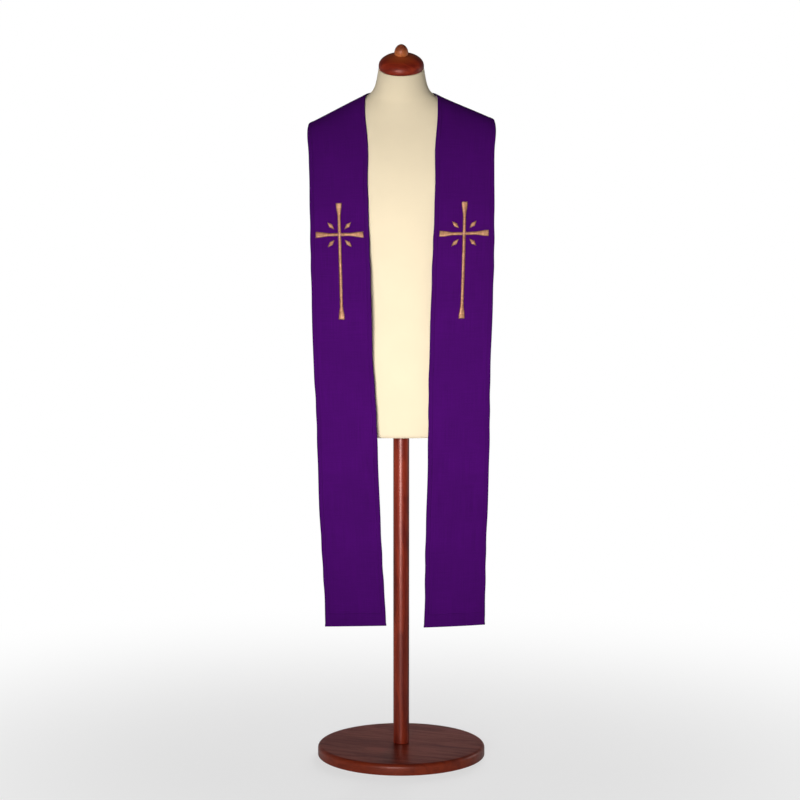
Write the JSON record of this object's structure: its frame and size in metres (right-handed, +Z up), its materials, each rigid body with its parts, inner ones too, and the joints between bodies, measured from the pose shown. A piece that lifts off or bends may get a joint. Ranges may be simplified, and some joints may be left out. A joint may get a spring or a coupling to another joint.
{
  "type": "clerical stole on a dress form",
  "caption": "Long straight clerical stole with a mitred centre-back seam and an embroidered cross on each front end, worn over a limbless padded dress form on a turned wooden stand.",
  "frame": {"origin": "centre of the round base's underside, on the floor", "axes": "+Z up along the pole; the front, where the stole's ends hang, faces -Y; +X is the wearer's left"},
  "size_m": [0.4432, 0.4, 1.6813],
  "materials": {
    "violet_cloth": "matt violet wool-like cloth",
    "gold_thread": "old-gold satin-stitch embroidery thread",
    "cream_cover": "cream cotton jersey cover, matt",
    "mahogany": "turned mahogany-stained wood, polished"
  },
  "bodies": {
    "root": {"stole_right_band": "violet_cloth", "stole_left_band": "violet_cloth", "cross_right": "gold_thread", "cross_left": "gold_thread", "form_torso": "cream_cover", "neck_cap": "mahogany", "cap_knob": "mahogany", "stand_pole": "mahogany", "stand_base": "mahogany"}
  },
  "joints": []
}
